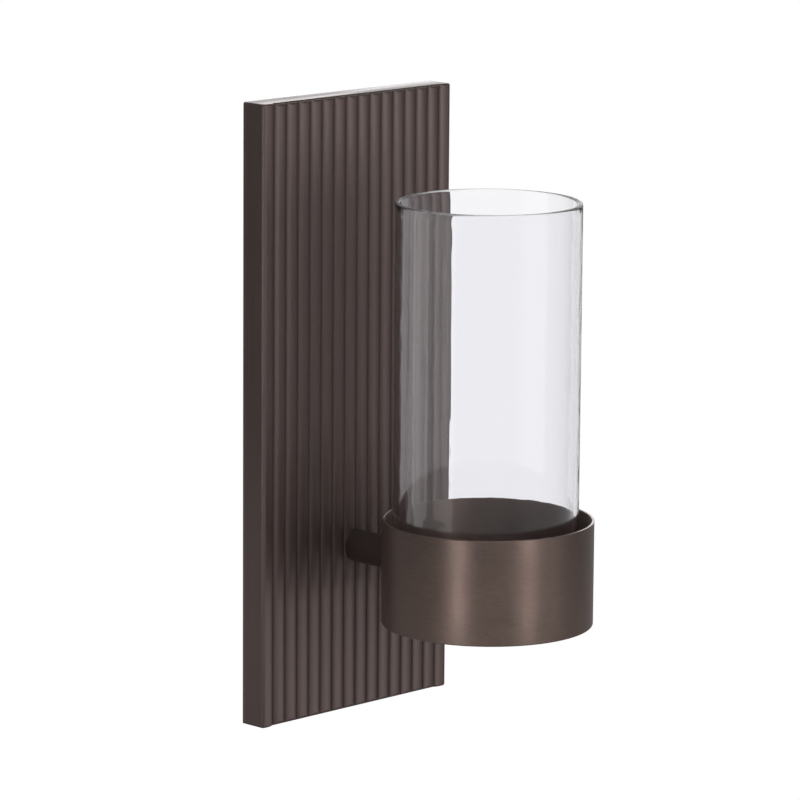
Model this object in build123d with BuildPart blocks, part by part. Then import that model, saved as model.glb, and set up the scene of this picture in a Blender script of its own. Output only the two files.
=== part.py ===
from build123d import *

import math
import os

os.makedirs("parts", exist_ok=True)

# Wall sconce for a pillar candle: a pressed, ribbed sheet-metal pan hangs on the wall, a round arm
# stands out of it and carries an open cup, and a loose glass cylinder stands in the cup.
#
# Frame: +Z is up, the wall is the plane Y = 0 and the sconce faces -Y.
# The origin lies on the wall, midway between the entry holes of the two keyholes.

# ---- pan
plate_width = 127.0
plate_height = 304.8
base_depth = 12.7  # wall to the bottom of the grooves
rib_relief = 1.6  # crest above groove
rib_flank_angle = 65.0  # how steeply a rib rises out of its groove
rib_count = 14  # full ribs, between two corner ribs
corner_rib_width = 7.7
corner_radius = 2.0
sheet = 1.0
edge_radius = 0.5  # top and bottom front edges
rib_end_band = 0.6  # plain strip between a rib's end and the edge
rib_end_run = 1.5  # length over which a rib sinks to nothing
corner_end_radius = 1.0

# ---- hanging
keyholes_below_top = 45.0
keyhole_spacing = 76.2
keyhole_entry_radius = 4.5
keyhole_slot_radius = 2.3
keyhole_drop = 8.0
strap_sheet = 1.5
strap_tab_gap = 1.5  # tab end to the pan's front sheet
strap_bend = 2.0
hanger_strap_height = 28.0
lower_strap_height = 20.0
lower_strap_above_bottom = 30.0
pad_radius = 6.0
pad_thickness = 1.5
pad_edge_radius = 0.4
pad_inset = 18.5  # pad centre to the pan's side

# ---- arm
arm_radius = 7.95
arm_length = 38.1  # rib crests to cup wall
arm_above_bottom = 81.7
arm_chamfer = 0.5
backing_size = 44.0
backing_thickness = 3.0
backing_corner_radius = 3.0
bolt_radius = 3.0
bolt_head_across_flats = 10.0
bolt_wall_gap = 2.0  # bolt head to wall
bolt_engagement = 12.0
bolt_tip_chamfer = 0.5
flat_washer_radius = 6.0
flat_washer_thickness = 1.2
spring_washer_radius = 5.4
spring_washer_thickness = 1.5
spring_washer_slit = 1.2
spring_washer_slant = 20.0  # degrees
pin_radius = 1.25
pin_engagement = 6.0

# ---- cup
cup_radius = 50.8
cup_height = 50.8
cup_sheet = 1.2
cup_floor_sheet = 1.5
arm_above_cup_bottom = 23.5
cup_rim_radius = 0.35
cup_foot_radius = 0.8
floor_step = 0.8
floor_step_rounding = 0.4
cup_screw_radius = 2.5
cup_screw_head_radius = 4.6
cup_screw_head_rounding = 0.5
cup_screw_socket_radius = 1.5
cup_screw_glass_gap = 1.0  # screw head to glass
cup_screw_engagement = 10.0
saddle_radius = 5.2
saddle_thickness = 1.05  # at the middle

# ---- glass
glass_height = 202.0
glass_wall = 2.4
glass_gap = 5.15  # all round, inside the cup
glass_shift = 1.5  # the loose glass stands this far off centre, towards the wall
floor_play = 2.05  # all round, between the raised floor and the glass
glass_rim_radius = 1.1
glass_foot_radius = 0.5

# ---- clearances
weld_gap = 0.05  # between curved faces that are welded or clamped together
thread_gap = 0.05  # a thread is a plain hole this much larger than its screw
screw_clearance = 0.3
cut_margin = 2.0  # how far a cutting shape runs past what it cuts

# ---- worked out from the above
crest_depth = base_depth + rib_relief
plate_top = keyholes_below_top
plate_bottom = plate_top - plate_height
rib_pitch = (plate_width - 2 * corner_rib_width) / rib_count
flank_rise = math.tan(math.radians(rib_flank_angle)) * rib_pitch / 2
rib_start = rib_relief / (flank_rise - rib_relief)  # sine of the ellipse's starting angle
rib_start_angle = math.degrees(math.asin(rib_start))
rib_height_radius = rib_relief / (1 - rib_start)
rib_width_radius = rib_pitch / 2 / math.sqrt(1 - rib_start**2)
first_groove = -plate_width / 2 + corner_rib_width
pan_inner_half = plate_width / 2 - sheet
pan_inner_depth = base_depth - sheet
arm_z = plate_bottom + arm_above_bottom
backing_depth = pan_inner_depth - backing_thickness
spring_washer_depth = backing_depth - flat_washer_thickness
bolt_head_depth = spring_washer_depth - spring_washer_thickness
bolt_head_height = bolt_head_depth - bolt_wall_gap
pin_offset = (bolt_radius + arm_radius) / 2
strap_tab_depth = pan_inner_depth - strap_tab_gap
pad_x = plate_width / 2 - pad_inset
cup_distance = crest_depth + arm_length + cup_radius
cup_bottom = arm_z - arm_above_cup_bottom
cup_inner_radius = cup_radius - cup_sheet
floor_top = cup_bottom + cup_floor_sheet
saddle_face = cup_distance - cup_inner_radius + saddle_thickness
cup_screw_head_height = glass_gap - glass_shift - saddle_thickness - cup_screw_glass_gap
glass_radius = cup_inner_radius - glass_gap
glass_inner_radius = glass_radius - glass_wall
glass_distance = cup_distance - glass_shift
raised_floor_radius = glass_inner_radius - floor_play


def save(builder, name):
    builder.part.label = name
    export_step(builder.part, f"parts/{name}.step")


# ---- ribbed_panel: one pressed sheet, folded back on four sides and open to the wall


def rib_arc(middle, start, end, inset):
    """Front of a rib between two angles: an ellipse outside, a flatter arc on the hollow's side."""
    if not inset:
        EllipticalCenterArc(
            (middle, rib_height_radius - crest_depth),
            rib_width_radius,
            rib_height_radius,
            start_angle=start,
            arc_size=end - start,
        )
        return
    half = rib_pitch / 2
    left = middle - half if start < 270 else middle
    right = middle + half if end > 270 else middle
    curve = (half**2 + rib_relief**2) / (2 * rib_relief)
    depths = []
    for x in (left, (left + right) / 2, right):
        depths.append(crest_depth - inset - curve + math.sqrt(curve**2 - (x - middle) ** 2))
    ThreePointArc((left, -depths[0]), ((left + right) / 2, -depths[1]), (right, -depths[2]))


def rib_section(inset, back):
    """Cross-section of the pan's outside, or of its hollow when inset is the sheet."""
    half = plate_width / 2 - inset
    crest = crest_depth - inset
    radius = corner_radius - inset
    slant = radius * (1 - 2**-0.5)
    shoulder = half - radius
    outer_crest = first_groove - rib_pitch / 2
    with BuildSketch(Plane.XY.offset(plate_bottom + inset)) as section:
        with BuildLine():
            for side in (-1, 1):
                Line((side * half, back), (side * half, radius - crest))
                ThreePointArc(
                    (side * half, radius - crest),
                    (side * (half - slant), slant - crest),
                    (side * shoulder, -crest),
                )
                Line((side * shoulder, -crest), (-side * outer_crest, -crest))
                if side < 0:
                    rib_arc(outer_crest, 270, 360 - rib_start_angle, inset)
                else:
                    rib_arc(-outer_crest, 180 + rib_start_angle, 270, inset)
            for rib in range(rib_count):
                middle = first_groove + (rib + 0.5) * rib_pitch
                rib_arc(middle, 180 + rib_start_angle, 360 - rib_start_angle, inset)
            Line((-half, back), (half, back))
        make_face()
    return section.sketch


def side_outline(inset, back, edge_depth, edge_rounding, run):
    """Side view that a section is trimmed to. With a run, the ribs sink before the edges."""
    crest = crest_depth - inset
    depth = edge_depth - inset
    rounding = max(edge_rounding - inset, 0)
    with BuildSketch(Plane.YZ) as outline:
        with BuildLine():
            for edge, inward in ((plate_bottom, 1), (plate_top, -1)):
                end = edge + inward * inset
                foot = end + inward * rounding
                rib_end = edge + inward * rib_end_band
                Line((back, end), (rounding - depth, end))
                if rounding:
                    TangentArc((rounding - depth, end), (-depth, foot), tangent=(-1, 0))
                if run:
                    Line((-depth, foot), (-depth, rib_end))
                    TangentArc((-crest, rib_end + inward * run), (-depth, rib_end), tangent=(0, -inward))
            if run:
                rib_reach = rib_end_band + run
                Line((-crest, plate_bottom + rib_reach), (-crest, plate_top - rib_reach))
            else:
                reach = inset + rounding
                Line((-crest, plate_bottom + reach), (-crest, plate_top - reach))
            Line((back, plate_bottom + inset), (back, plate_top - inset))
        make_face()
    return outline.sketch


def trim_to(outline):
    """Keeps only what lies inside the outline, seen from the side."""
    extrude(outline, amount=plate_width, both=True, mode=Mode.INTERSECT)


def pressed_form(inset, back):
    """Solid outside of the pan, or its hollow when inset is the sheet."""
    length = plate_height - 2 * inset
    with BuildPart() as ribs:
        with BuildSketch(Plane.XY.offset(plate_bottom + inset)):
            add(rib_section(inset, back))
        extrude(amount=length)
        trim_to(side_outline(inset, back, base_depth, edge_radius, rib_end_run))
    with BuildPart() as corners:
        with BuildSketch(Plane.XY.offset(plate_bottom + inset)):
            add(rib_section(inset, back))
            Rectangle(-2 * first_groove, 4 * crest_depth, mode=Mode.SUBTRACT)
        extrude(amount=length)
        trim_to(side_outline(inset, back, crest_depth, corner_end_radius, 0))
    return ribs.part + corners.part


def drill(radius, x, z, near, far):
    """Cuts a round hole along Y between two depths in front of the wall."""
    with BuildSketch(Plane.XZ.offset(near)) as hole:
        with Locations((x, z)):
            Circle(radius)
    extrude(hole.sketch, amount=far - near, mode=Mode.SUBTRACT)


with BuildPart() as ribbed_panel:
    add(pressed_form(0, 0))
    add(pressed_form(sheet, cut_margin), mode=Mode.SUBTRACT)
    drill(bolt_radius + screw_clearance, 0, arm_z, base_depth - cut_margin, crest_depth + cut_margin)
    drill(pin_radius + thread_gap, 0, arm_z + pin_offset, base_depth - cut_margin, crest_depth + cut_margin)

save(ribbed_panel, "ribbed_panel")


# ---- straps: strips folded at both ends and spot-welded between the pan's sides


def folded_strap(recess, low, height):
    """A strip whose back face lies this far in front of the wall, with a tab at each end."""
    half = pan_inner_half - strap_sheet / 2
    web = recess + strap_sheet / 2
    with BuildPart() as strap:
        with BuildSketch(Plane.XY.offset(low)):
            with BuildLine():
                FilletPolyline(
                    (-half, -strap_tab_depth),
                    (-half, -web),
                    (half, -web),
                    (half, -strap_tab_depth),
                    radius=strap_bend,
                )
            trace(line_width=strap_sheet)
        extrude(amount=height)
    return strap.part


hanger_low = (keyhole_drop - hanger_strap_height) / 2

with BuildPart() as hanger_strap:
    add(folded_strap(0, hanger_low, hanger_strap_height))
    for side in (-1, 1):
        with BuildSketch(Plane.XZ.offset(-cut_margin)):
            with Locations((side * keyhole_spacing / 2, 0)):
                Circle(keyhole_entry_radius)
            with Locations((side * keyhole_spacing / 2, keyhole_drop / 2)):
                Rectangle(2 * keyhole_slot_radius, keyhole_drop)
            with Locations((side * keyhole_spacing / 2, keyhole_drop)):
                Circle(keyhole_slot_radius)
        extrude(amount=strap_sheet + 2 * cut_margin, mode=Mode.SUBTRACT)

save(hanger_strap, "hanger_strap")

lower_strap_low = plate_bottom + lower_strap_above_bottom - lower_strap_height / 2

with BuildPart() as lower_strap:
    add(folded_strap(pad_thickness, lower_strap_low, lower_strap_height))

save(lower_strap, "lower_strap")


# ---- wall pads: rubber discs stuck on the lower strap, level with the pan's rear edges


def wall_pad(x):
    with BuildPart() as pad:
        with BuildSketch(Plane.XZ):
            with Locations((x, plate_bottom + lower_strap_above_bottom)):
                Circle(pad_radius)
        extrude(amount=pad_thickness)
        fillet(pad.faces().sort_by(Axis.Y)[-1].edges(), pad_edge_radius)
    return pad


for side, hand in ((-1, "left"), (1, "right")):
    save(wall_pad(side * pad_x), f"wall_pad_{hand}")


# ---- arm: a round bar, squared against the ribs and coped to the cup

with BuildPart() as arm_rod:
    with BuildSketch(Plane.XZ.offset(crest_depth)):
        with Locations((0, arm_z)):
            Circle(arm_radius)
    extrude(amount=arm_length + cup_radius / 2)
    chamfer(arm_rod.faces().sort_by(Axis.Y)[-1].edges(), arm_chamfer)
    with BuildSketch(Plane.XY.offset(cup_bottom - cut_margin)):
        with Locations((0, -cup_distance)):
            Circle(cup_radius + weld_gap)
    extrude(amount=cup_height + 2 * cut_margin, mode=Mode.SUBTRACT)
    drill(bolt_radius + thread_gap, 0, arm_z, crest_depth, crest_depth + bolt_engagement + cut_margin)
    drill(
        pin_radius + thread_gap,
        0,
        arm_z + pin_offset,
        crest_depth,
        crest_depth + pin_engagement + weld_gap,
    )
    drill(
        cup_screw_radius + thread_gap,
        0,
        arm_z,
        crest_depth + arm_length - cup_screw_engagement - cut_margin,
        crest_depth + arm_length + cut_margin,
    )

save(arm_rod, "arm_rod")

with BuildPart() as arm_backing_plate:
    with BuildSketch(Plane.XZ.offset(backing_depth)):
        with Locations((0, arm_z)):
            RectangleRounded(backing_size, backing_size, backing_corner_radius)
    extrude(amount=backing_thickness)
    drill(bolt_radius + screw_clearance, 0, arm_z, 0, crest_depth)
    drill(pin_radius + thread_gap, 0, arm_z + pin_offset, 0, crest_depth)

save(arm_backing_plate, "arm_backing_plate")

with BuildPart() as flat_washer:
    with BuildSketch(Plane.XZ.offset(spring_washer_depth)):
        with Locations((0, arm_z)):
            Circle(flat_washer_radius)
            Circle(bolt_radius + screw_clearance, mode=Mode.SUBTRACT)
    extrude(amount=flat_washer_thickness)

save(flat_washer, "flat_washer")

with BuildPart() as spring_washer:
    with BuildSketch(Plane.XZ.offset(bolt_head_depth)):
        with Locations((0, arm_z)):
            Circle(spring_washer_radius)
            Circle(bolt_radius + screw_clearance, mode=Mode.SUBTRACT)
        with Locations((0, arm_z - spring_washer_radius)):
            Rectangle(
                spring_washer_slit,
                2 * bolt_radius,
                rotation=spring_washer_slant,
                mode=Mode.SUBTRACT,
            )
    extrude(amount=spring_washer_thickness)

save(spring_washer, "spring_washer")

with BuildPart() as arm_bolt:
    with BuildSketch(Plane.XZ.offset(bolt_head_depth)):
        with Locations((0, arm_z)):
            RegularPolygon(bolt_head_across_flats / 2, 6, major_radius=False)
    extrude(amount=-bolt_head_height)
    with BuildSketch(Plane.XZ.offset(bolt_head_depth)):
        with Locations((0, arm_z)):
            Circle(bolt_radius)
    extrude(amount=crest_depth + bolt_engagement - bolt_head_depth)
    chamfer(arm_bolt.faces().sort_by(Axis.Y)[0].edges(), bolt_tip_chamfer)

save(arm_bolt, "arm_bolt")

with BuildPart() as locating_pin:
    with BuildSketch(Plane.XZ.offset(backing_depth)):
        with Locations((0, arm_z + pin_offset)):
            Circle(pin_radius)
    extrude(amount=crest_depth + pin_engagement - backing_depth)

save(locating_pin, "locating_pin")


# ---- cup: a rolled band closed by a welded floor

with BuildPart() as cup_band:
    with BuildSketch(Plane.XY.offset(cup_bottom)):
        with Locations((0, -cup_distance)):
            Circle(cup_radius)
            Circle(cup_inner_radius, mode=Mode.SUBTRACT)
    extrude(amount=cup_height)
    fillet(cup_band.faces().sort_by(Axis.Z)[-1].edges(), cup_rim_radius)
    fillet(cup_band.faces().sort_by(Axis.Z)[0].edges().sort_by(SortBy.LENGTH)[-1], cup_foot_radius)
    drill(
        cup_screw_radius + screw_clearance,
        0,
        arm_z,
        crest_depth + arm_length - cut_margin,
        cup_distance,
    )

save(cup_band, "cup_band")

with BuildPart() as cup_floor:
    with BuildSketch(Plane.XY.offset(cup_bottom)):
        with Locations((0, -cup_distance)):
            Circle(cup_inner_radius - weld_gap)
    extrude(amount=cup_floor_sheet)
    with BuildSketch(Plane.XY.offset(floor_top)):
        with Locations((0, -cup_distance)):
            Circle(raised_floor_radius)
    extrude(amount=floor_step)
    fillet(cup_floor.faces().sort_by(Axis.Z)[-1].edges(), floor_step_rounding)
    with BuildSketch(Plane.XY.offset(cup_bottom)):
        with Locations((0, -cup_distance)):
            Circle(raised_floor_radius - cup_floor_sheet)
    extrude(amount=floor_step, mode=Mode.SUBTRACT)

save(cup_floor, "cup_floor")

with BuildPart() as saddle_washer:
    with BuildSketch(Plane.XZ.offset(saddle_face)):
        with Locations((0, arm_z)):
            Circle(saddle_radius)
    extrude(amount=-2 * saddle_thickness)
    with BuildSketch(Plane.XY.offset(cup_bottom)):
        with Locations((0, -cup_distance)):
            Circle(cup_inner_radius - weld_gap)
    extrude(amount=cup_height, mode=Mode.INTERSECT)
    drill(cup_screw_radius + screw_clearance, 0, arm_z, crest_depth, cup_distance)

save(saddle_washer, "saddle_washer")

with BuildPart() as cup_screw:
    with BuildSketch(Plane.XZ.offset(saddle_face)):
        with Locations((0, arm_z)):
            Circle(cup_screw_head_radius)
    extrude(amount=cup_screw_head_height)
    fillet(cup_screw.faces().sort_by(Axis.Y)[0].edges(), cup_screw_head_rounding)
    with BuildSketch(Plane.XZ.offset(saddle_face + cup_screw_head_height / 2)):
        with Locations((0, arm_z)):
            RegularPolygon(cup_screw_socket_radius, 6, major_radius=False)
    extrude(amount=cup_screw_head_height, mode=Mode.SUBTRACT)
    with BuildSketch(Plane.XZ.offset(saddle_face)):
        with Locations((0, arm_z)):
            Circle(cup_screw_radius)
    extrude(amount=crest_depth + arm_length - cup_screw_engagement - saddle_face)

save(cup_screw, "cup_screw")


# ---- glass: an open tube with a fire-polished rim

with BuildPart() as glass_cylinder:
    with BuildSketch(Plane.XY.offset(floor_top)):
        with Locations((0, -glass_distance)):
            Circle(glass_radius)
            Circle(glass_inner_radius, mode=Mode.SUBTRACT)
    extrude(amount=glass_height)
    fillet(glass_cylinder.faces().sort_by(Axis.Z)[-1].edges(), glass_rim_radius)
    fillet(glass_cylinder.faces().sort_by(Axis.Z)[0].edges(), glass_foot_radius)

save(glass_cylinder, "glass_cylinder")
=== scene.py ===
import math
import bpy
from mathutils import Matrix, Vector


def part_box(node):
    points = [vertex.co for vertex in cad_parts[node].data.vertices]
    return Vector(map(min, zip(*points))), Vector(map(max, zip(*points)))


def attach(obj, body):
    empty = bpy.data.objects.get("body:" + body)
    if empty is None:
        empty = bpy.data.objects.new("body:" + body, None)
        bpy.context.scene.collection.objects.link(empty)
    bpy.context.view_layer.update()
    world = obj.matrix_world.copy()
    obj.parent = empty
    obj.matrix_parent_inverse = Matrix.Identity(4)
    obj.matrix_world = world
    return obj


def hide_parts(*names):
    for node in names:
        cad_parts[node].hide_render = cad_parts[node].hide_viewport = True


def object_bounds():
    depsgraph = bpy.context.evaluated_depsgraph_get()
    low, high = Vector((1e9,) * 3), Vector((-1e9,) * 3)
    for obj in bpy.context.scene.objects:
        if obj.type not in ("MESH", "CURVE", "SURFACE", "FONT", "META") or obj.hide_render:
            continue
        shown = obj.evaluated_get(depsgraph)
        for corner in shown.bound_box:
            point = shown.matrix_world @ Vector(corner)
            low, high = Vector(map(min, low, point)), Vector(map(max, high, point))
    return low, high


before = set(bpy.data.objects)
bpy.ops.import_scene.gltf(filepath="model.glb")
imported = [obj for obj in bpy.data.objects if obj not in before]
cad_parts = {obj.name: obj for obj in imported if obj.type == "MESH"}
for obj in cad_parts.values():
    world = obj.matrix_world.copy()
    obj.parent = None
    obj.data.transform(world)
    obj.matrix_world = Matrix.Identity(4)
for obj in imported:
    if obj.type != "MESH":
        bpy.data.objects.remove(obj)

cadLow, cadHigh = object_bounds()
mm = 0.001


def newPiece(name, verts, faces, body, node):
    # a smooth-shaded piece that stands in for one node of the part
    mesh = bpy.data.meshes.new(name)
    mesh.from_pydata(verts, [], faces)
    mesh.validate()
    mesh.polygons.foreach_set("use_smooth", [True] * len(mesh.polygons))
    mesh.update()
    piece = bpy.data.objects.new(name, mesh)
    bpy.context.scene.collection.objects.link(piece)
    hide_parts(node)
    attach(piece, body)
    return piece


def lerp(a, b, t):
    return a + (b - a) * t


def softMin(a, b, k):
    # the smaller of two depths, blended over k
    h = max(k - abs(a - b), 0.0) / k
    return min(a, b) - h * h * k * 0.25


def softMax(a, b, k):
    return -softMin(-a, -b, k)


def roundedLoop(corners, steps=5):
    # corners: (radius, height, rounding) in order; returns a closed profile with its corners rounded
    loop = []
    count = len(corners)
    for i, (r, z, rounding) in enumerate(corners):
        here = Vector((r, z))
        before = Vector(corners[i - 1][:2]) - here
        after = Vector(corners[(i + 1) % count][:2]) - here
        if rounding <= 0:
            loop.append((r, z))
            continue
        half = before.angle(after) / 2
        reach = rounding / math.tan(half)
        start = here + before.normalized() * reach
        end = here + after.normalized() * reach
        middle = here + (before.normalized() + after.normalized()).normalized() * (rounding / math.sin(half))
        a0 = start - middle
        a1 = end - middle
        turn = a0.angle(a1)
        sign = 1 if a0.cross(a1) > 0 else -1
        for k in range(steps + 1):
            angle = sign * turn * k / steps
            c, s = math.cos(angle), math.sin(angle)
            loop.append((middle.x + c * a0.x - s * a0.y, middle.y + s * a0.x + c * a0.y))
    return loop


def revolve(loop, centre, segments, wobble=None):
    # turns a closed (radius, height) loop round the vertical line through centre
    verts, faces = [], []
    count = len(loop)
    for i in range(segments):
        angle = 2 * math.pi * i / segments
        for r, z in loop:
            rr = r - (wobble(angle, z) if wobble else 0.0)
            verts.append((centre[0] + rr * math.cos(angle), centre[1] + rr * math.sin(angle), z))
    for i in range(segments):
        j = (i + 1) % segments
        for k in range(count):
            m = (k + 1) % count
            faces.append((i * count + k, j * count + k, j * count + m, i * count + m))
    return verts, faces


panShape = {
    "ribs": 14,             # whole ones, between the two corner ribs
    "cornerRib": 7.7 * mm,
    "relief": 1.6 * mm,
    "sheet": 1.0 * mm,
    "cornerRadius": 2.0 * mm,
    "edgeRadius": 0.5 * mm,
    "cornerEndRadius": 1.0 * mm,
    "band": 0.6 * mm,       # plain strip beyond a rib's end
    "run": 1.5 * mm,        # length over which a rib sinks
    "fullAt": 1.15,         # rows are spaced for the run up to this share of it
    "flankAngle": 65.0,     # how steeply a rib rises out of its groove
    "grooveLift": 0.01 * mm,
    "grooveSoftness": 0.06 * mm,
    "endSoftness": 0.12 * mm,
    "sharpAngle": 50,
    "stepsPerRib": 28,
    "cornerSteps": 8,
    "edgeSteps": 6,
    "runSteps": 12,
    "plainSteps": 24,
    "flangeSteps": 4,
}


def panColumns(width, depth):
    # across the front: (x, depth in front of the wall, outward x, outward y, belongs to a corner)
    s = panShape
    half = width / 2
    pitch = (width - 2 * s["cornerRib"]) / s["ribs"]
    crest = depth
    base = depth - s["relief"]
    rise = math.tan(math.radians(s["flankAngle"])) * pitch / 2
    start = s["relief"] / (rise - s["relief"])
    tall = s["relief"] / (1 - start)
    wide = pitch / 2 / math.sqrt(1 - start ** 2)
    firstGroove = -half + s["cornerRib"]
    cornerCrest = firstGroove - pitch / 2

    def arcDepth(offset):
        plain = crest - tall + tall * math.sqrt(max(1 - (offset / wide) ** 2, 0.0))
        return softMax(plain, base + s["grooveLift"], s["grooveSoftness"])

    left = []
    r = s["cornerRadius"]
    for k in range(s["cornerSteps"] + 1):
        a = math.pi / 2 * k / s["cornerSteps"]
        c, sn = math.cos(a), math.sin(a)
        left.append((-half + r - r * c, crest - r + r * sn, -c, -sn, True))
    left.append((lerp(-half + r, cornerCrest, 0.5), crest, 0.0, -1.0, True))
    steps = s["stepsPerRib"]
    for k in range(steps // 2 + 1):
        offset = pitch / 2 * math.sin(math.pi * k / steps)      # closer together near the groove
        left.append((cornerCrest + offset, arcDepth(offset), 0.0, -1.0, True))
    middle = []
    for rib in range(s["ribs"]):
        centre = firstGroove + (rib + 0.5) * pitch
        last = steps - 1 if rib == s["ribs"] - 1 else steps
        for k in range(1, last + 1):
            offset = pitch / 2 * math.sin(math.pi * (k / steps - 0.5))
            middle.append((centre + offset, arcDepth(offset), 0.0, -1.0, False))
    right = [(-x, d, -nx, ny, c) for x, d, nx, ny, c in reversed(left)]
    return left + middle + right


def panRows(height):
    # up the side: (kind, edge angle or height above the edge for a rib, the same for a corner rib)
    s = panShape
    low = []
    for k in range(s["edgeSteps"] + 1):
        angle = math.pi / 2 * k / s["edgeSteps"]
        low.append(("edge", angle, angle))
    top = s["band"] + s["run"] * s["fullAt"]
    heights = [s["band"]]
    for k in range(1, s["runSteps"] + 1):
        heights.append(s["band"] + s["run"] * (1 - math.cos(math.pi / 2 * k / s["runSteps"])))
    heights.append(top)
    for k, above in enumerate(heights):
        low.append(("run", above, lerp(s["cornerEndRadius"], top, (k + 1) / len(heights))))
    rows = list(low)
    for k in range(1, s["plainSteps"]):
        above = lerp(top, height - top, k / s["plainSteps"])
        rows.append(("plain", above, above))
    for kind, rib, corner in reversed(low):
        rows.append((kind + "Top", rib, corner))
    return rows


def panShell(width, height, depth, low):
    # the front, the four flanges and the lips, then the same net again one sheet further in
    s = panShape
    sheet = s["sheet"]
    columns = panColumns(width, depth)
    rows = panRows(height)
    m = s["flangeSteps"]
    crest = depth
    base = depth - s["relief"]
    runRadius = (s["relief"] ** 2 + s["run"] ** 2) / (2 * s["relief"])

    def depthLimit(above, corner):
        if corner:
            return crest
        t = above - s["band"]
        if t <= 0:
            return base
        if t >= s["run"]:
            return crest
        return crest - runRadius + math.sqrt(max(runRadius ** 2 - (s["run"] - t) ** 2, 0.0))

    def point(row, column, share):
        # share: 1 at the front, less towards the wall on a flange
        kind = row[0]
        x, d, nx, ny, corner = column
        value = row[2] if corner else row[1]
        radius = s["cornerEndRadius"] if corner else s["edgeRadius"]
        if kind.startswith("edge"):
            above = radius * (1 - math.cos(value))
            inset = radius * (1 - math.sin(value))
        else:
            above, inset = value, 0.0
        z = low + above
        edge = above
        if kind.endswith("Top"):
            z = low + height - above
        elif kind == "plain":
            edge = min(above, height - above)
        deep = softMin(d, depthLimit(edge, corner), s["endSoftness"]) if not corner else d
        return x - nx * inset, (-deep - ny * inset) * share, z

    verts, faces = [], []
    index = {}
    wide = len(columns)
    tall = len(rows)
    for i, row in enumerate(rows):
        for j in range(wide):
            index[i, j] = len(verts)
            verts.append(point(row, columns[j], 1.0))
        for side, j in (("L", 0), ("R", wide - 1)):
            x, y, z = point(row, columns[j], 1.0)
            for k in range(m):
                index[i, side, k] = len(verts)
                verts.append((x, y * k / m, z))
    for i in range(tall - 1):
        for j in range(wide - 1):
            faces.append((index[i, j], index[i, j + 1], index[i + 1, j + 1], index[i + 1, j]))
        for k in range(m):
            after = index[i, "L", k + 1] if k < m - 1 else index[i, 0]
            afterUp = index[i + 1, "L", k + 1] if k < m - 1 else index[i + 1, 0]
            faces.append((index[i, "L", k], after, afterUp, index[i + 1, "L", k]))
            after = index[i, "R", k + 1] if k < m - 1 else index[i, wide - 1]
            afterUp = index[i + 1, "R", k + 1] if k < m - 1 else index[i + 1, wide - 1]
            faces.append((after, index[i, "R", k], index[i + 1, "R", k], afterUp))
    for i, flip in ((0, False), (tall - 1, True)):
        cap = {}
        for j in range(wide):
            for k in range(m + 1):
                if k == m:
                    cap[j, k] = index[i, j]
                elif j == 0:
                    cap[j, k] = index[i, "L", k]
                elif j == wide - 1:
                    cap[j, k] = index[i, "R", k]
                else:
                    x, y, z = point(rows[i], columns[j], 1.0)
                    cap[j, k] = len(verts)
                    verts.append((x, y * k / m, z))
        for j in range(wide - 1):
            for k in range(m):
                quad = (cap[j, k], cap[j + 1, k], cap[j + 1, k + 1], cap[j, k + 1])
                faces.append(tuple(reversed(quad)) if flip else quad)
    count = len(verts)
    shrinkX = (width - 2 * sheet) / width
    shrinkZ = (height - 2 * sheet) / height
    middle = low + height / 2
    shrinkY = (depth - sheet) / depth
    inner = [(x * shrinkX, min(y * shrinkY, 0.0), middle + (z - middle) * shrinkZ) for x, y, z in verts]
    edges = {}
    for face in faces:
        for a, b in zip(face, face[1:] + face[:1]):
            edges[a, b] = True
    rim = [(a, b) for a, b in edges if (b, a) not in edges]
    allFaces = faces + [tuple(v + count for v in reversed(f)) for f in faces]
    allFaces += [(b, a, a + count, b + count) for a, b in rim]
    return verts + inner, allFaces


def makePan():
    low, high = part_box("ribbed_panel")
    verts, faces = panShell(high.x - low.x, high.z - low.z, -low.y, low.z)
    pan = newPiece("ribbedPan", verts, faces, "wall_unit", "ribbed_panel")
    markSharp(pan, panShape["sharpAngle"])
    print("ribbed pan:", len(verts), "points")
    return pan


def markSharp(piece, degrees):
    # smooth shading up to an angle, set on the mesh itself
    mesh = piece.data
    limit = math.radians(degrees)
    faceNormals = [p.normal.copy() for p in mesh.polygons]
    owners = {}
    for p in mesh.polygons:
        for key in p.edge_keys:
            owners.setdefault(key, []).append(p.index)
    for edge in mesh.edges:
        sides = owners.get(tuple(sorted(edge.vertices)), [])
        if len(sides) == 2:
            edge.use_edge_sharp = faceNormals[sides[0]].angle(faceNormals[sides[1]], 0.0) > limit


armShape = {
    "segments": 96,
    "chamfer": 0.5 * mm,
    "chamferMiddle": (0.3, 0.18),       # inward and back, as shares of the chamfer
    "copeGap": 0.05 * mm,               # between the coped end and the cup
    "steps": (0.25, 0.5, 0.75, 0.96, 1.0),
    "sharpAngle": 40,
}


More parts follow.
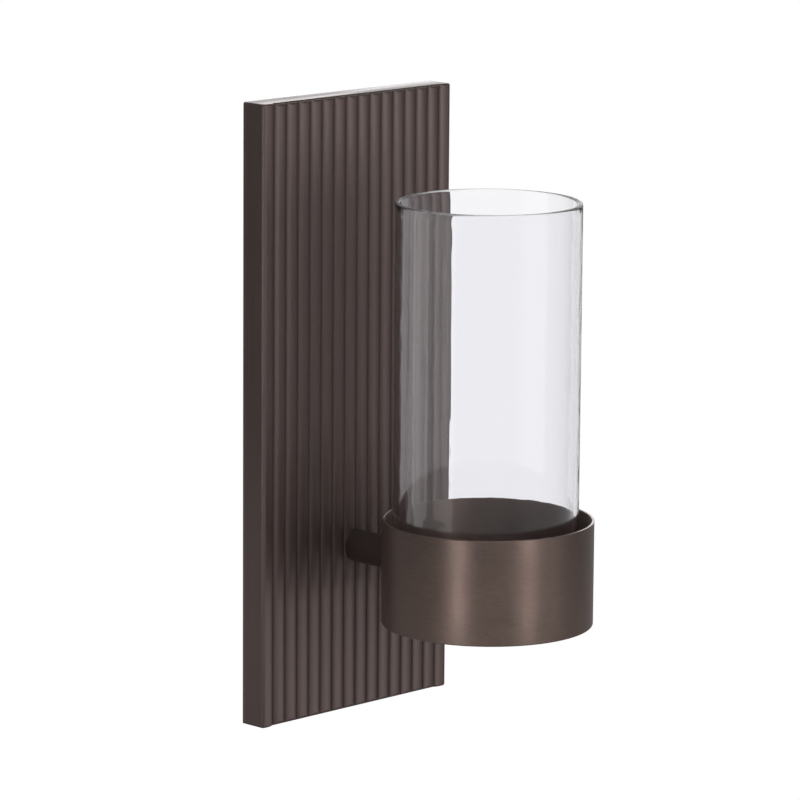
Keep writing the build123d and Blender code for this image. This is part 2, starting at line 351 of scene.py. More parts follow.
def makeArm():
    # a round bar with its far end coped to the cup
    low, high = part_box("arm_rod")
    cupLow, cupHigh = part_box("cup_band")
    s = armShape
    radius = (high.x - low.x) / 2
    z0 = (low.z + high.z) / 2
    cupY = (cupLow.y + cupHigh.y) / 2
    cupRadius = (cupHigh.x - cupLow.x) / 2 + s["copeGap"]
    chamfer = s["chamfer"]
    inward, behind = s["chamferMiddle"]
    profile = [(radius - chamfer, 0.0), (radius - inward * chamfer, behind * chamfer), (radius, chamfer)]
    n = s["segments"]
    verts, faces = [(0.0, high.y, z0)], []

    def cope(x):
        return cupY + math.sqrt(cupRadius ** 2 - x ** 2)

    for i in range(n):
        a = 2 * math.pi * i / n
        c, sn = math.cos(a), math.sin(a)
        for r, back in profile:
            verts.append((r * c, high.y - back, z0 + r * sn))
        for t in s["steps"]:
            verts.append((radius * c, lerp(high.y - chamfer, cope(radius * c), t), z0 + radius * sn))
        half = 0.5 * radius
        verts.append((half * c, cope(half * c), z0 + half * sn))
    tip = len(verts)
    verts.append((0.0, cope(0.0), z0))
    per = len(profile) + len(s["steps"]) + 1
    for i in range(n):
        j = (i + 1) % n
        a, b = 1 + i * per, 1 + j * per
        faces.append((0, a, b))
        for k in range(per - 1):
            faces.append((a + k, a + k + 1, b + k + 1, b + k))
        faces.append((a + per - 1, tip, b + per - 1))
    arm = newPiece("roundArm", verts, faces, "wall_unit", "arm_rod")
    markSharp(arm, s["sharpAngle"])
    print("arm:", len(verts), "points")
    return arm


cupShape = {
    "segments": 256,
    "sheet": 1.2 * mm,
    "rimRounding": 0.35 * mm,
    "footRounding": 0.8 * mm,
    "innerRounding": 0.15 * mm,
    "outerLevels": (0.33, 0.66),        # rows of points on the way up
    "innerLevel": 0.5,
    "sharpAngle": 40,
}

floorShape = {
    "segments": 160,
    "sheet": 1.5 * mm,
    "step": 0.8 * mm,           # how far the middle is raised
    "bandGap": 0.05 * mm,
    "glassGap": 2.05 * mm,      # from the glass's bore in to the raised middle
    "centreHole": 0.0001 * mm,
    "hub": 0.3,                 # an inner ring of points, as a share of the raised middle
    "slopeBelow": 0.4 * mm,     # width of the step, below and above
    "slopeAbove": 0.5 * mm,
    "stepRounding": 0.5 * mm,
    "stepFoot": 0.25 * mm,
    "edgeBelow": 0.2 * mm,
    "edgeAbove": 0.1 * mm,
    "raisedRounding": 0.3 * mm,
    "sharpAngle": 40,
}


def makeCup():
    s = cupShape
    low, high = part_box("cup_band")
    centre = ((low.x + high.x) / 2, (low.y + high.y) / 2)
    radius = (high.x - low.x) / 2
    inner = radius - s["sheet"]
    loop = roundedLoop([
        (radius, low.z, s["footRounding"]),
        (radius, lerp(low.z, high.z, s["outerLevels"][0]), 0),
        (radius, lerp(low.z, high.z, s["outerLevels"][1]), 0),
        (radius, high.z, s["rimRounding"]),
        (inner, high.z, s["rimRounding"]),
        (inner, lerp(low.z, high.z, s["innerLevel"]), 0),
        (inner, low.z, s["innerRounding"]),
    ])
    verts, faces = revolve(loop, centre, s["segments"])
    band = newPiece("cupBand", verts, faces, "wall_unit", "cup_band")
    markSharp(band, s["sharpAngle"])

    s = floorShape
    low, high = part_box("cup_floor")
    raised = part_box("glass_cylinder")[1].x - glassShape["wall"] - s["glassGap"]
    edge = inner - s["bandGap"]
    under = raised - s["sheet"]
    top = low.z + s["sheet"]
    hub = s["hub"] * raised
    loop = [(s["centreHole"], low.z + s["step"])]
    loop += roundedLoop([
        (hub, low.z + s["step"], 0),
        (under, low.z + s["step"], s["stepRounding"]),
        (under + s["slopeBelow"], low.z, s["stepFoot"]),
        (edge, low.z, s["edgeBelow"]),
        (edge, top, s["edgeAbove"]),
        (raised + s["slopeAbove"], top, s["raisedRounding"]),
        (raised, high.z, s["raisedRounding"]),
        (hub, high.z, 0),
    ])
    loop.append((s["centreHole"], high.z))
    verts, faces = revolve(loop, centre, s["segments"])
    disc = newPiece("cupFloor", verts, faces, "wall_unit", "cup_floor")
    markSharp(disc, s["sharpAngle"])
    print("cup band and floor ready")
    return band, disc


glassShape = {
    "segments": 320,
    "wall": 2.4 * mm,
    "rimRounding": 1.15 * mm,
    "footRounding": 0.5 * mm,
    "levels": 40,
    "roundSteps": 7,
    # a drawn tube is never quite even: (share, turns round, drift per metre, start) of each slow ripple
    "ripples": ((1.0, 3, 9, 0.0), (0.6, 7, -14, 1.3), (0.4, 13, 21, 0.7)),
    "wave": 0.05 * mm,
}


def makeGlass():
    s = glassShape
    low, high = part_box("glass_cylinder")
    centre = ((low.x + high.x) / 2, (low.y + high.y) / 2)
    radius = (high.x - low.x) / 2
    inner = radius - s["wall"]
    corners = [(radius, low.z, s["footRounding"])]
    corners += [(radius, lerp(low.z, high.z, k / s["levels"]), 0) for k in range(1, s["levels"])]
    corners += [(radius, high.z, s["rimRounding"]), (inner, high.z, s["rimRounding"])]
    corners += [(inner, lerp(high.z, low.z, k / s["levels"]), 0) for k in range(1, s["levels"])]
    corners += [(inner, low.z, s["footRounding"])]
    loop = roundedLoop(corners, s["roundSteps"])

    def wobble(angle, z):
        total = 0.0
        for share, turns, drift, start in s["ripples"]:
            total += share * math.sin(turns * angle + drift * z + start)
        return s["wave"] * (0.5 + 0.25 * total)

    verts, faces = revolve(loop, centre, s["segments"], wobble)
    glass = newPiece("glassCylinder", verts, faces, "glass", "glass_cylinder")
    print("glass:", len(verts), "points")
    return glass


def newGroup(name, inputs, outputs):
    group = bpy.data.node_groups.new(name, "ShaderNodeTree")
    for label, kind, value in inputs:
        socket = group.interface.new_socket(name=label, in_out="INPUT", socket_type=kind)
        if value is not None:
            socket.default_value = value
    for label, kind in outputs:
        group.interface.new_socket(name=label, in_out="OUTPUT", socket_type=kind)
    entry = group.nodes.new("NodeGroupInput")
    leave = group.nodes.new("NodeGroupOutput")
    return group, entry, leave


def addNode(tree, kind, **values):
    node = tree.nodes.new(kind)
    for key, value in values.items():
        setattr(node, key, value)
    return node


def plug(tree, value, socket):
    # a plain number or colour is set on the socket, anything else is linked to it
    if isinstance(value, (int, float, tuple)):
        socket.default_value = value
    else:
        tree.links.new(value, socket)


def mathNode(tree, operation, a, b=None, clamp=False):
    node = addNode(tree, "ShaderNodeMath", operation=operation, use_clamp=clamp)
    plug(tree, a, node.inputs[0])
    if b is not None:
        plug(tree, b, node.inputs[1])
    return node.outputs[0]


def rangeNode(tree, value, fromMin=0.0, fromMax=1.0, toMin=0.0, toMax=1.0, **settings):
    node = addNode(tree, "ShaderNodeMapRange", **settings)
    plug(tree, value, node.inputs["Value"])
    for name, wanted in (("From Min", fromMin), ("From Max", fromMax), ("To Min", toMin), ("To Max", toMax)):
        plug(tree, wanted, node.inputs[name])
    return node.outputs["Result"]


def objectPlace(tree, axis):
    # one coordinate of the object's own position
    place = addNode(tree, "ShaderNodeTexCoord")
    parts = addNode(tree, "ShaderNodeSeparateXYZ")
    tree.links.new(place.outputs["Object"], parts.inputs[0])
    return parts.outputs[axis]


brushShape = {"detail": 6.0, "roughness": 0.75, "cloudDetail": 4.0}


def makeBrushGroup():
    # fine scratches along one direction, and a slow cloudy tone
    group, entry, leave = newGroup(
        "brushing",
        [("Vector", "NodeSocketVector", None), ("Scratch Scale", "NodeSocketFloat", 1.0),
         ("Cloud Scale", "NodeSocketFloat", 30.0), ("Contrast", "NodeSocketFloat", 1.0)],
        [("Scratches", "NodeSocketFloat"), ("Clouds", "NodeSocketFloat"), ("Height", "NodeSocketFloat")],
    )
    link = group.links.new
    fine = addNode(group, "ShaderNodeTexNoise", noise_dimensions="3D")
    link(entry.outputs["Vector"], fine.inputs["Vector"])
    link(entry.outputs["Scratch Scale"], fine.inputs["Scale"])
    fine.inputs["Detail"].default_value = brushShape["detail"]
    fine.inputs["Roughness"].default_value = brushShape["roughness"]
    coarse = addNode(group, "ShaderNodeTexNoise", noise_dimensions="3D")
    position = addNode(group, "ShaderNodeTexCoord")
    link(position.outputs["Object"], coarse.inputs["Vector"])
    link(entry.outputs["Cloud Scale"], coarse.inputs["Scale"])
    coarse.inputs["Detail"].default_value = brushShape["cloudDetail"]
    shifted = mathNode(group, "SUBTRACT", fine.outputs["Fac"], 0.5)
    scaled = mathNode(group, "MULTIPLY", shifted, entry.outputs["Contrast"])
    scratches = mathNode(group, "ADD", scaled, 0.5, True)
    link(scratches, leave.inputs["Scratches"])
    link(coarse.outputs["Fac"], leave.inputs["Clouds"])
    link(fine.outputs["Fac"], leave.inputs["Height"])
    return group


# settings for edge wear with painted highlight, and for painted shade in hollows
wearHighlightShadeShape = {"breakupDetail": 5.0, "creviceShadeFrom": 0.48, "creviceShadeTo": 0.40}


def makeWearHighlightShadeGroup():
    # lighter metal where edges rub, with a painted highlight on crests and rib ends; painted shade darkening
    # corners and grooves
    group, entry, leave = newGroup(
        "edgeWear",
        [
            ("Low", "NodeSocketFloat", 0.52),
            ("High", "NodeSocketFloat", 0.6),
            ("Breakup", "NodeSocketFloat", 90.0),
        ],
        [("Edge Wear And Highlight", "NodeSocketFloat"), ("Crevice Shade", "NodeSocketFloat")],
    )
    link = group.links.new
    geometry = addNode(group, "ShaderNodeNewGeometry")
    position = addNode(group, "ShaderNodeTexCoord")
    noise = addNode(group, "ShaderNodeTexNoise")
    link(position.outputs["Object"], noise.inputs["Vector"])
    link(entry.outputs["Breakup"], noise.inputs["Scale"])
    noise.inputs["Detail"].default_value = wearHighlightShadeShape["breakupDetail"]
    point = geometry.outputs["Pointiness"]
    # edges: worn metal, and a painted highlight on crests and rib ends
    edge = rangeNode(group, point, entry.outputs["Low"], entry.outputs["High"])
    broken = mathNode(group, "MULTIPLY", edge, noise.outputs["Fac"], True)
    link(broken, leave.inputs["Edge Wear And Highlight"])
    # painted shade where the surface is hollow: grooves and corners
    creviceShade = rangeNode(group, point, wearHighlightShadeShape["creviceShadeFrom"], wearHighlightShadeShape["creviceShadeTo"])
    link(creviceShade, leave.inputs["Crevice Shade"])
    return group


dustShape = {"upPower": 3.0, "filmScale": 45.0, "filmDetail": 6.0, "speckFrom": 0.66, "speckTo": 0.72}


def makeDustGroup():
    # a thin film of dust on what faces up, with specks
    group, entry, leave = newGroup(
        "dust",
        [("Amount", "NodeSocketFloat", 0.2), ("Speck Scale", "NodeSocketFloat", 900.0)],
        [("Mask", "NodeSocketFloat")],
    )
    link = group.links.new
    geometry = addNode(group, "ShaderNodeNewGeometry")
    parts = addNode(group, "ShaderNodeSeparateXYZ")
    link(geometry.outputs["Normal"], parts.inputs[0])
    up = mathNode(group, "MAXIMUM", parts.outputs["Z"], 0.0)
    up = mathNode(group, "POWER", up, dustShape["upPower"])
    position = addNode(group, "ShaderNodeTexCoord")
    film = addNode(group, "ShaderNodeTexNoise")
    link(position.outputs["Object"], film.inputs["Vector"])
    film.inputs["Scale"].default_value = dustShape["filmScale"]
    film.inputs["Detail"].default_value = dustShape["filmDetail"]
    speck = addNode(group, "ShaderNodeTexNoise")
    link(position.outputs["Object"], speck.inputs["Vector"])
    link(entry.outputs["Speck Scale"], speck.inputs["Scale"])
    speckMask = rangeNode(group, speck.outputs["Fac"], dustShape["speckFrom"], dustShape["speckTo"])
    both = mathNode(group, "ADD", film.outputs["Fac"], speckMask)
    both = mathNode(group, "MULTIPLY", both, up)
    both = mathNode(group, "MULTIPLY", both, entry.outputs["Amount"], True)
    link(both, leave.inputs["Mask"])
    return group


groups = {}


def useGroup(tree, name, **values):
    node = tree.nodes.new("ShaderNodeGroup")
    node.node_tree = groups[name]
    for key, value in values.items():
        node.inputs[key].default_value = value
    return node


def mixColour(tree, factor, a, b, blend="MIX"):
    node = addNode(tree, "ShaderNodeMix", data_type="RGBA", blend_type=blend)
    for socket, value in ((node.inputs[0], factor), (node.inputs[6], a), (node.inputs[7], b)):
        plug(tree, value, socket)
    return node.outputs[2]


def newMaterial(name):
    material = bpy.data.materials.new(name)
    material.use_nodes = True
    tree = material.node_tree
    return material, tree, tree.nodes["Principled BSDF"]


def stretchedPlace(tree, scale):
    # object position with each direction scaled on its own
    place = addNode(tree, "ShaderNodeTexCoord")
    stretch = addNode(tree, "ShaderNodeMapping")
    stretch.inputs["Scale"].default_value = scale
    tree.links.new(place.outputs["Object"], stretch.inputs["Vector"])
    return stretch.outputs["Vector"]


def roundPlace(tree, centre, turns, rise):
    # position unrolled round a vertical axis, so that scratches run round the cup
    place = addNode(tree, "ShaderNodeTexCoord")
    parts = addNode(tree, "ShaderNodeSeparateXYZ")
    tree.links.new(place.outputs["Object"], parts.inputs[0])
    x = mathNode(tree, "SUBTRACT", parts.outputs["X"], centre[0])
    y = mathNode(tree, "SUBTRACT", parts.outputs["Y"], centre[1])
    angle = mathNode(tree, "ARCTAN2", y, x)
    across = mathNode(tree, "MULTIPLY", angle, turns)
    up = mathNode(tree, "MULTIPLY", parts.outputs["Z"], rise)
    radius = mathNode(tree, "ADD", mathNode(tree, "MULTIPLY", x, x), mathNode(tree, "MULTIPLY", y, y))
    out = mathNode(tree, "MULTIPLY", mathNode(tree, "SQRT", radius), rise)
    joined = addNode(tree, "ShaderNodeCombineXYZ")
    tree.links.new(across, joined.inputs[0])
    tree.links.new(up, joined.inputs[1])
    tree.links.new(out, joined.inputs[2])
    return joined.outputs[0]


def bronzeMaterial(name, look, place):
    material, tree, shader = newMaterial(name)
    link = tree.links.new
    vector = place(tree)
    brushing = {"Scratch Scale": 1.0, "Cloud Scale": look["cloudScale"], "Contrast": look["contrast"]}
    brush = useGroup(tree, "brushing", **brushing)
    link(vector, brush.inputs["Vector"])
    wearAndHighlight = useGroup(tree, "edgeWear", **{"Low": look["wearAndHighlightLow"], "High": look["wearAndHighlightHigh"]})
    dust = useGroup(tree, "dust", **{"Amount": look["dust"]})
    tone = mixColour(tree, brush.outputs["Scratches"], look["dark"], look["light"])
    cloudy = mixColour(tree, brush.outputs["Clouds"], look["cool"], look["warm"])
    tone = mixColour(tree, look["cloudShare"], tone, cloudy)
    # painted shade: grooves and corners darkened towards the deep tone
    creviceShade = mathNode(tree, "MULTIPLY", wearAndHighlight.outputs["Crevice Shade"], look["creviceShade"])
    tone = mixColour(tree, creviceShade, tone, look["deep"])
    # edges lightened: worn metal, and a painted highlight on crests and rib ends
    edge = mathNode(tree, "MULTIPLY", wearAndHighlight.outputs["Edge Wear And Highlight"], look["wearAndHighlight"])
    tone = mixColour(tree, edge, tone, look["bareAndHighlight"])
    # painted shade: the cup darkens from its foot up to its rim
    if look["paintedRimShade"] > 0:
        paintedShadeMask = rangeNode(tree, objectPlace(tree, "Z"), cupLow.z, cupHigh.z, 0.0, look["paintedRimShade"])
        tone = mixColour(tree, paintedShadeMask, tone, look["deep"])
    tone = mixColour(tree, dust.outputs["Mask"], tone, look["dustTone"])
    link(tone, shader.inputs["Base Color"])
    rough = rangeNode(tree, brush.outputs["Scratches"], 0.0, 1.0, look["roughLow"], look["roughHigh"])
    cloud = mathNode(tree, "SUBTRACT", brush.outputs["Clouds"], 0.5)
    rough = mathNode(tree, "ADD", rough, mathNode(tree, "MULTIPLY", cloud, look["roughCloud"]))
    dusty = mathNode(tree, "MULTIPLY", dust.outputs["Mask"], look["dustRough"])
    link(mathNode(tree, "ADD", rough, dusty, True), shader.inputs["Roughness"])
    shader.inputs["Metallic"].default_value = look["metallic"]
    shader.inputs["Specular IOR Level"].default_value = look["specular"]
    shader.inputs["Anisotropic"].default_value = look["spread"]     # shine spreads across the brush marks
    shader.inputs["Anisotropic Rotation"].default_value = look["spreadTurn"]
    tangent = addNode(tree, "ShaderNodeTangent", direction_type="RADIAL", axis="Z")
    link(tangent.outputs[0], shader.inputs["Tangent"])
    bump = addNode(tree, "ShaderNodeBump")
    bump.inputs["Strength"].default_value = look["bump"]
    bump.inputs["Distance"].default_value = look["bumpDepth"]
    link(brush.outputs["Height"], bump.inputs["Height"])
    link(bump.outputs["Normal"], shader.inputs["Normal"])
    return material


panelLook = {
    "cloudScale": 55.0, "cloudShare": 0.45, "contrast": 2.2,
    "dark": (0.070, 0.0515, 0.0485, 1.0), "light": (0.100, 0.0735, 0.0690, 1.0),
    "cool": (0.081, 0.0612, 0.0605, 1.0), "warm": (0.091, 0.0655, 0.0584, 1.0),
    # tones: painted shade in grooves, corners and towards the cup's rim, then worn metal with painted
    # highlight on edges
    "deep": (0.04, 0.029, 0.027, 1.0), "bareAndHighlight": (0.30, 0.24, 0.21, 1.0),
    # strength of the painted groove shade, then of the edge wear with painted highlight, and where edges start
    "creviceShade": 0.6, "wearAndHighlight": 0.35, "wearAndHighlightLow": 0.53, "wearAndHighlightHigh": 0.62,
    "roughLow": 0.37, "roughHigh": 0.45, "roughCloud": 0.08, "spread": 0.5, "spreadTurn": 0.0,
    "metallic": 0.65, "specular": 0.4, "bump": 0.25, "bumpDepth": 0.06 * mm,
    "dust": 0.10, "dustTone": (0.36, 0.34, 0.33, 1.0), "dustRough": 0.35,
    "paintedRimShade": 0.0,        # painted shade: how much darker the cup is painted at the rim than at the foot
    "stretch": (1500.0, 600.0, 25.0),       # brush marks run up and down, repeats per metre
}

cupLook = dict(panelLook, **{
    "contrast": 3.0, "cloudShare": 0.45,
    "dark": (0.140, 0.0998, 0.0882, 1.0), "light": (0.236, 0.1725, 0.1505, 1.0),
    "cool": (0.158, 0.1210, 0.1120, 1.0), "warm": (0.222, 0.1570, 0.1290, 1.0),
    # the cup gets painted shade towards its rim
    "paintedRimShade": 0.30, "turns": 12.0, "rise": 2000.0,        # brush marks run round the cup
    "roughLow": 0.36, "roughHigh": 0.48, "roughCloud": 0.25, "creviceShade": 0.2,
    "bump": 0.35, "bumpDepth": 0.1 * mm, "dust": 0.05,
    "metallic": 0.75, "specular": 0.5, "spread": 0.55, "spreadTurn": 0.25,
})

armLook = dict(panelLook, **{
    "dark": (0.064, 0.0464, 0.0425, 1.0), "light": (0.090, 0.0650, 0.0600, 1.0),
    "cool": (0.072, 0.0540, 0.0510, 1.0), "warm": (0.080, 0.0580, 0.0510, 1.0),
    "wearAndHighlight": 0.15, "spread": 0.0, "stretch": (900.0, 30.0, 900.0),
})


glassLook = {
    "clear": (0.962, 0.960, 0.982, 1.0), "hazy": (0.950, 0.948, 0.972, 1.0),
    "smudge": (30.0, 30.0, 12.0),       # sizes are given as repeats per metre
    "streak": (320.0, 320.0, 5.0),      # drawn lines down the tube
    "pimple": (150.0, 150.0, 110.0),    # small unevenness
    "streakDepth": 0.030 * mm, "pimpleDepth": 0.055 * mm,
    "filmFrom": 0.45, "filmTo": 0.8, "roughMost": 0.035, "ior": 1.47,
    "rimFrost": 0.48, "rimDepth": 1.0 * mm, "rimFull": 0.4,     # the ground rim is a little milky
}


def glassMaterial():
    look = glassLook
    material, tree, shader = newMaterial("clearGlass")
    link = tree.links.new
    smudge = addNode(tree, "ShaderNodeTexNoise")
    link(stretchedPlace(tree, look["smudge"]), smudge.inputs["Vector"])
    smudge.inputs["Scale"].default_value = 1.0
    smudge.inputs["Detail"].default_value = 5.0
    film = rangeNode(tree, smudge.outputs["Fac"], look["filmFrom"], look["filmTo"], 0.0, look["roughMost"])
    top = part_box("glass_cylinder")[1].z
    start = top - look["rimDepth"]
    end = top - look["rimFull"] * look["rimDepth"]
    rim = rangeNode(tree, objectPlace(tree, "Z"), start, end, 0.0, look["rimFrost"])
    link(mathNode(tree, "ADD", film, rim, True), shader.inputs["Roughness"])
    link(mixColour(tree, smudge.outputs["Fac"], look["clear"], look["hazy"]), shader.inputs["Base Color"])
    normal = None
    for size, depth, detail in (("streak", "streakDepth", 2.0), ("pimple", "pimpleDepth", 0.0)):
        ripple = addNode(tree, "ShaderNodeTexNoise")
        link(stretchedPlace(tree, look[size]), ripple.inputs["Vector"])
        ripple.inputs["Scale"].default_value = 1.0
        ripple.inputs["Detail"].default_value = detail
        bump = addNode(tree, "ShaderNodeBump")
        bump.inputs["Distance"].default_value = look[depth]
        link(ripple.outputs["Fac"], bump.inputs["Height"])
        if normal:
            link(normal, bump.inputs["Normal"])
        normal = bump.outputs["Normal"]
    link(normal, shader.inputs["Normal"])
    shader.inputs["Transmission Weight"].default_value = 1.0
    shader.inputs["IOR"].default_value = look["ior"]
    shader.inputs["Metallic"].default_value = 0.0
    return material


def plainMaterial(name, dark, light, rough, metallic, scale=400.0, bumpDepth=0.04 * mm):
    # a finish for the small hidden pieces: mottled, with painted shade darkening its corners
    material, tree, shader = newMaterial(name)
    link = tree.links.new
    noise = addNode(tree, "ShaderNodeTexNoise")
    place = addNode(tree, "ShaderNodeTexCoord")
    link(place.outputs["Object"], noise.inputs["Vector"])
    noise.inputs["Scale"].default_value = scale
    noise.inputs["Detail"].default_value = 6.0
    wearAndHighlight = useGroup(tree, "edgeWear")
    tone = mixColour(tree, noise.outputs["Fac"], dark, light)
    # painted shade: corners darkened towards a deeper tone
    corner = tuple(c * 0.4 for c in dark[:3]) + (1.0,)
    tone = mixColour(tree, mathNode(tree, "MULTIPLY", wearAndHighlight.outputs["Crevice Shade"], 0.5), tone, corner)
    link(tone, shader.inputs["Base Color"])
    link(rangeNode(tree, noise.outputs["Fac"], 0.0, 1.0, *rough), shader.inputs["Roughness"])
    shader.inputs["Metallic"].default_value = metallic
    bump = addNode(tree, "ShaderNodeBump")
    bump.inputs["Strength"].default_value = 0.3
    bump.inputs["Distance"].default_value = bumpDepth
    link(noise.outputs["Fac"], bump.inputs["Height"])
    link(bump.outputs["Normal"], shader.inputs["Normal"])
    return material


def dress(piece, material):
    piece.data.materials.clear()
    piece.data.materials.append(material)


cameraPlace = {
    "azimuth": -45.15, "elevation": 10.72, "roll": 0.414, "distance": 2.366,
    "across": 0.03072, "upward": -0.00005, "lens": 217.0,
}


def lookFrom(azimuth, elevation):
    a, e = math.radians(azimuth), math.radians(elevation)
    return Vector((math.sin(a) * math.cos(e), -math.cos(a) * math.cos(e), math.sin(e)))


def makeCamera():
    s = cameraPlace
    low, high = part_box("ribbed_panel")
    target = Vector((0.0, 0.0, (low.z + high.z) / 2))
    back = lookFrom(s["azimuth"], s["elevation"])
    a = math.radians(s["azimuth"])
    right = Vector((math.cos(a), math.sin(a), 0.0))
    up = back.cross(right)
    r = math.radians(s["roll"])
    rolledRight = math.cos(r) * right + math.sin(r) * up
    rolledUp = -math.sin(r) * right + math.cos(r) * up
    data = bpy.data.cameras.new("camera")
    data.lens = s["lens"]
    data.sensor_width = 36.0
    data.clip_start = 0.05
    data.clip_end = 100.0
    camera = bpy.data.objects.new("camera", data)
    bpy.context.scene.collection.objects.link(camera)
    place = target + back * s["distance"] + rolledRight * s["across"] + rolledUp * s["upward"]
    turn = Matrix((rolledRight, rolledUp, back)).transposed()
    camera.matrix_world = Matrix.Translation(place) @ turn.to_4x4()
    bpy.context.scene.camera = camera


lights = {
    # name: azimuth, elevation, distance, width, height, power, colour
    "frontLow": (-2.0, -9.0, 1.6, 0.34, 0.55, 2.6, (1.0, 0.97, 0.94)),
    "frontMid": (-2.0, 12.0, 1.6, 0.34, 0.55, 5.2, (1.0, 0.97, 0.94)),
    "leftLow": (-76.0, -9.0, 1.7, 0.30, 0.6, 6.0, (1.0, 0.97, 0.94)),
    "leftMid": (-76.0, 12.0, 1.7, 0.30, 0.6, 2.7, (1.0, 0.97, 0.94)),
    "cameraLow": (-38.0, 0.0, 2.4, 0.9, 1.2, 1.4, (1.0, 0.985, 0.97)),
    "cameraHigh": (-28.0, 40.0, 2.0, 1.2, 0.8, 6.5, (1.0, 0.985, 0.97)),
    "rightLow": (28.0, 0.0, 1.7, 0.6, 1.0, 1.8, (1.0, 0.98, 0.97)),
}

panelLights = {
    # reach the ribbed pan only, so that the far side of each rib is not dark
    "panelRight": (24.0, -6.0, 1.9, 0.8, 1.2, 3.0, (1.0, 0.98, 0.97)),
    "panelTop": (-28.0, 40.0, 1.8, 0.5, 0.5, 7.0, (1.0, 0.98, 0.97)),
    "panelHigh": (46.0, 39.0, 0.144, 0.12, 0.12, 0.026, (1.0, 0.99, 0.97)),
    "panelMid": (46.0, -15.3, 0.114, 0.10, 0.10, 0.016, (1.0, 0.99, 0.97)),
    "panelLow": (46.0, -57.0, 0.203, 0.14, 0.14, 0.075, (1.0, 0.98, 0.97)),
    "panelSide": (-135.6, -26.0, 0.43, 0.2, 0.2, 0.06, (1.0, 0.98, 0.97)),
}

glassCards = {
    # pale cards that only the glass mirrors: azimuth, elevation, distance, width, height, power, colour
    "cardLeft": (-100.0, -2.0, 1.7, 0.80, 1.6, 3.2, (1.0, 0.98, 0.96)),
    "cardBackLeft": (-136.0, -2.0, 1.7, 0.80, 1.6, 4.4, (1.0, 0.98, 0.96)),
    "cardTop": (-20.0, 76.0, 1.5, 0.9, 0.9, 8.0, (1.0, 1.0, 1.0)),
}

room = {
    "base": 0.29,
    # soft glows of the room: azimuth, elevation, half width in degrees, strength
    "glows": {
        "backRight": (135.0, 4.0, 42.0, 3.0),
    },
    "bentGlow": 0.4,        # what light turned round inside the glass sees on the left
    "bentMore": {
        # more of it across the floor: axis, from, to, added strength
        "right": ("X", -0.4, 0.4, 0.26),
        "behind": ("Y", -0.3, 0.1, 0.39),
    },
    "floorGlow": 0.25,
    "floorDrop": 0.25,
    "floorSize": 30.0,
    "floorMottle": 3.0,
    "floorDark": (0.992, 0.992, 0.995, 1.0), "floorLight": (1.03, 1.03, 1.03, 1.0),
}


def makeLights(settings, receivers):
    aim = (cadLow + cadHigh) / 2
    for name, (azimuth, elevation, distance, width, height, power, colour) in settings.items():
        data = bpy.data.lights.new(name, "AREA")
        data.shape = "RECTANGLE"
        data.size = width
        data.size_y = height
        data.energy = power
        data.color = colour
        light = bpy.data.objects.new(name, data)
        bpy.context.scene.collection.objects.link(light)
        direction = lookFrom(azimuth, elevation)
        light.location = aim + direction * distance
        light.rotation_euler = direction.to_track_quat("Z", "Y").to_euler()
        light.visible_camera = False
        light.visible_transmission = False
        light.light_linking.receiver_collection = receivers


def roomStrength(tree, soft, glint):
    # white where the camera looks, straight or through clear glass; glint where light was
    # turned inside the glass; soft for everything that lights the metal
    path = addNode(tree, "ShaderNodeLightPath")
    matt = mathNode(tree, "MULTIPLY", path.outputs["Diffuse Depth"], 4.0)
    turned = mathNode(tree, "ADD", matt, path.outputs["Glossy Depth"])
    through = path.outputs["Is Transmission Ray"]
    bent = mathNode(tree, "MULTIPLY", through, mathNode(tree, "LESS_THAN", turned, 1.5))
    straight = mathNode(tree, "MULTIPLY", through, mathNode(tree, "LESS_THAN", turned, 0.5))
    seen = mathNode(tree, "MAXIMUM", path.outputs["Is Camera Ray"], straight)
    value = soft
    for share, strength in ((bent, glint), (seen, 1.0)):
        choose = addNode(tree, "ShaderNodeMix", data_type="FLOAT")
        tree.links.new(share, choose.inputs[0])
        plug(tree, value, choose.inputs[2])
        plug(tree, strength, choose.inputs[3])
        value = choose.outputs[0]
    return value


def makeWorld():
    world = bpy.data.worlds.new("studio")
    bpy.context.scene.world = world
    world.use_nodes = True
    tree = world.node_tree
    background = tree.nodes["Background"]
    place = addNode(tree, "ShaderNodeTexCoord")
    total = room["base"]
    for azimuth, elevation, spread, power in room["glows"].values():
        aim = addNode(tree, "ShaderNodeVectorMath", operation="DOT_PRODUCT")
        tree.links.new(place.outputs["Generated"], aim.inputs[0])
        aim.inputs[1].default_value = lookFrom(azimuth, elevation)
        edge = math.cos(math.radians(spread))
        fade = rangeNode(tree, aim.outputs["Value"], edge, 1.0, 0.0, power, interpolation_type="SMOOTHSTEP")
        total = mathNode(tree, "ADD", fade, total)
    tree.links.new(roomStrength(tree, total, room["bentGlow"]), background.inputs["Strength"])
    background.inputs["Color"].default_value = (1.0, 1.0, 1.0, 1.0)


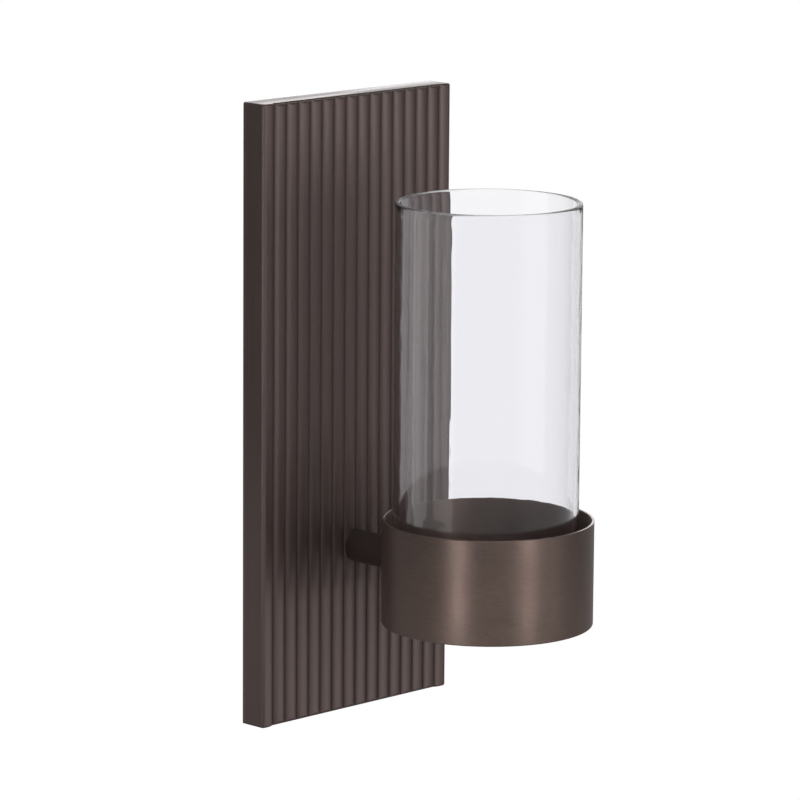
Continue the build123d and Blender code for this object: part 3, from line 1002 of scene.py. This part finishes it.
def makeFloor():
    size = room["floorSize"]
    low = cadLow.z - room["floorDrop"]
    mesh = bpy.data.meshes.new("floor")
    corners = [(-size, -size, low), (size, -size, low), (size, size, low), (-size, size, low)]
    mesh.from_pydata(corners, [], [(0, 1, 2, 3)])
    floor = bpy.data.objects.new("floor", mesh)
    bpy.context.scene.collection.objects.link(floor)
    material = bpy.data.materials.new("paleFloor")
    material.use_nodes = True
    tree = material.node_tree
    tree.nodes.remove(tree.nodes["Principled BSDF"])
    noise = addNode(tree, "ShaderNodeTexNoise")
    noise.inputs["Scale"].default_value = room["floorMottle"]
    glow = addNode(tree, "ShaderNodeEmission")
    pale = mixColour(tree, noise.outputs["Fac"], room["floorDark"], room["floorLight"])
    tree.links.new(pale, glow.inputs["Color"])
    glint = room["bentGlow"]
    for axis, start, end, more in room["bentMore"].values():
        share = rangeNode(tree, objectPlace(tree, axis), start, end, 0.0, more)
        glint = mathNode(tree, "ADD", share, glint)
    tree.links.new(roomStrength(tree, room["floorGlow"], glint), glow.inputs["Strength"])
    # clear from below, so that the underside of the sconce can be looked at
    clear = addNode(tree, "ShaderNodeBsdfTransparent")
    facing = addNode(tree, "ShaderNodeNewGeometry")
    choose = addNode(tree, "ShaderNodeMixShader")
    tree.links.new(facing.outputs["Backfacing"], choose.inputs[0])
    tree.links.new(glow.outputs[0], choose.inputs[1])
    tree.links.new(clear.outputs[0], choose.inputs[2])
    tree.links.new(choose.outputs[0], tree.nodes["Material Output"].inputs["Surface"])
    dress(floor, material)


for name, build in (("brushing", makeBrushGroup), ("edgeWear", makeWearHighlightShadeGroup), ("dust", makeDustGroup)):
    groups[name] = build()
print("node groups ready")

pan = makePan()
arm = makeArm()
band, disc = makeCup()
glass = makeGlass()

cupLow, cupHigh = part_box("cup_band")
cupCentre = ((cupLow.x + cupHigh.x) / 2, (cupLow.y + cupHigh.y) / 2)


def alongPan(tree):
    return stretchedPlace(tree, panelLook["stretch"])


def alongArm(tree):
    return stretchedPlace(tree, armLook["stretch"])


def roundCup(tree):
    return roundPlace(tree, cupCentre, cupLook["turns"], cupLook["rise"])


dress(pan, bronzeMaterial("brushedPanel", panelLook, alongPan))
dress(band, bronzeMaterial("brushedCup", cupLook, roundCup))
dress(disc, bronzeMaterial("cupFloorMetal", cupLook, roundCup))
dress(arm, bronzeMaterial("brushedArm", armLook, alongArm))
dress(glass, glassMaterial())

# darker and lighter tone, range of roughness, metal share, then noise scale and bump depth where not the usual
strapPaint = plainMaterial(
    "strapPaint", (0.060, 0.050, 0.046, 1.0), (0.085, 0.070, 0.064, 1.0), (0.38, 0.55), 0.9)
zinc = plainMaterial(
    "zincPlate", (0.50, 0.50, 0.48, 1.0), (0.66, 0.66, 0.63, 1.0), (0.22, 0.38), 1.0, 900.0)
blackOxide = plainMaterial(
    "blackOxide", (0.030, 0.029, 0.028, 1.0), (0.055, 0.052, 0.050, 1.0), (0.35, 0.5), 0.9)
rubber = plainMaterial(
    "padRubber", (0.020, 0.020, 0.021, 1.0), (0.040, 0.040, 0.041, 1.0), (0.65, 0.85), 0.0, 1500.0, 0.1 * mm)
keptNodes = {
    "hanger_strap": strapPaint, "lower_strap": strapPaint, "arm_backing_plate": strapPaint,
    "arm_bolt": zinc, "flat_washer": zinc, "spring_washer": zinc, "locating_pin": zinc,
    "cup_screw": blackOxide, "saddle_washer": blackOxide,
    "wall_pad_left": rubber, "wall_pad_right": rubber,
}
for node, material in keptNodes.items():
    dress(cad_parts[node], material)
glass.visible_shadow = False    # clear glass lets the light through to the metal
print("finishes on")

metalPieces = bpy.data.collections.new("metalPieces")
for piece in [pan, arm, band, disc] + [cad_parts[node] for node in keptNodes]:
    metalPieces.objects.link(piece)
glassPieces = bpy.data.collections.new("glassPieces")
glassPieces.objects.link(glass)
panelPieces = bpy.data.collections.new("panelPieces")
panelPieces.objects.link(pan)
makeWorld()
makeLights(lights, metalPieces)
makeLights(glassCards, glassPieces)
makeLights(panelLights, panelPieces)
makeFloor()
makeCamera()
bpy.context.scene.view_settings.view_transform = "Standard"
print("light and camera set")
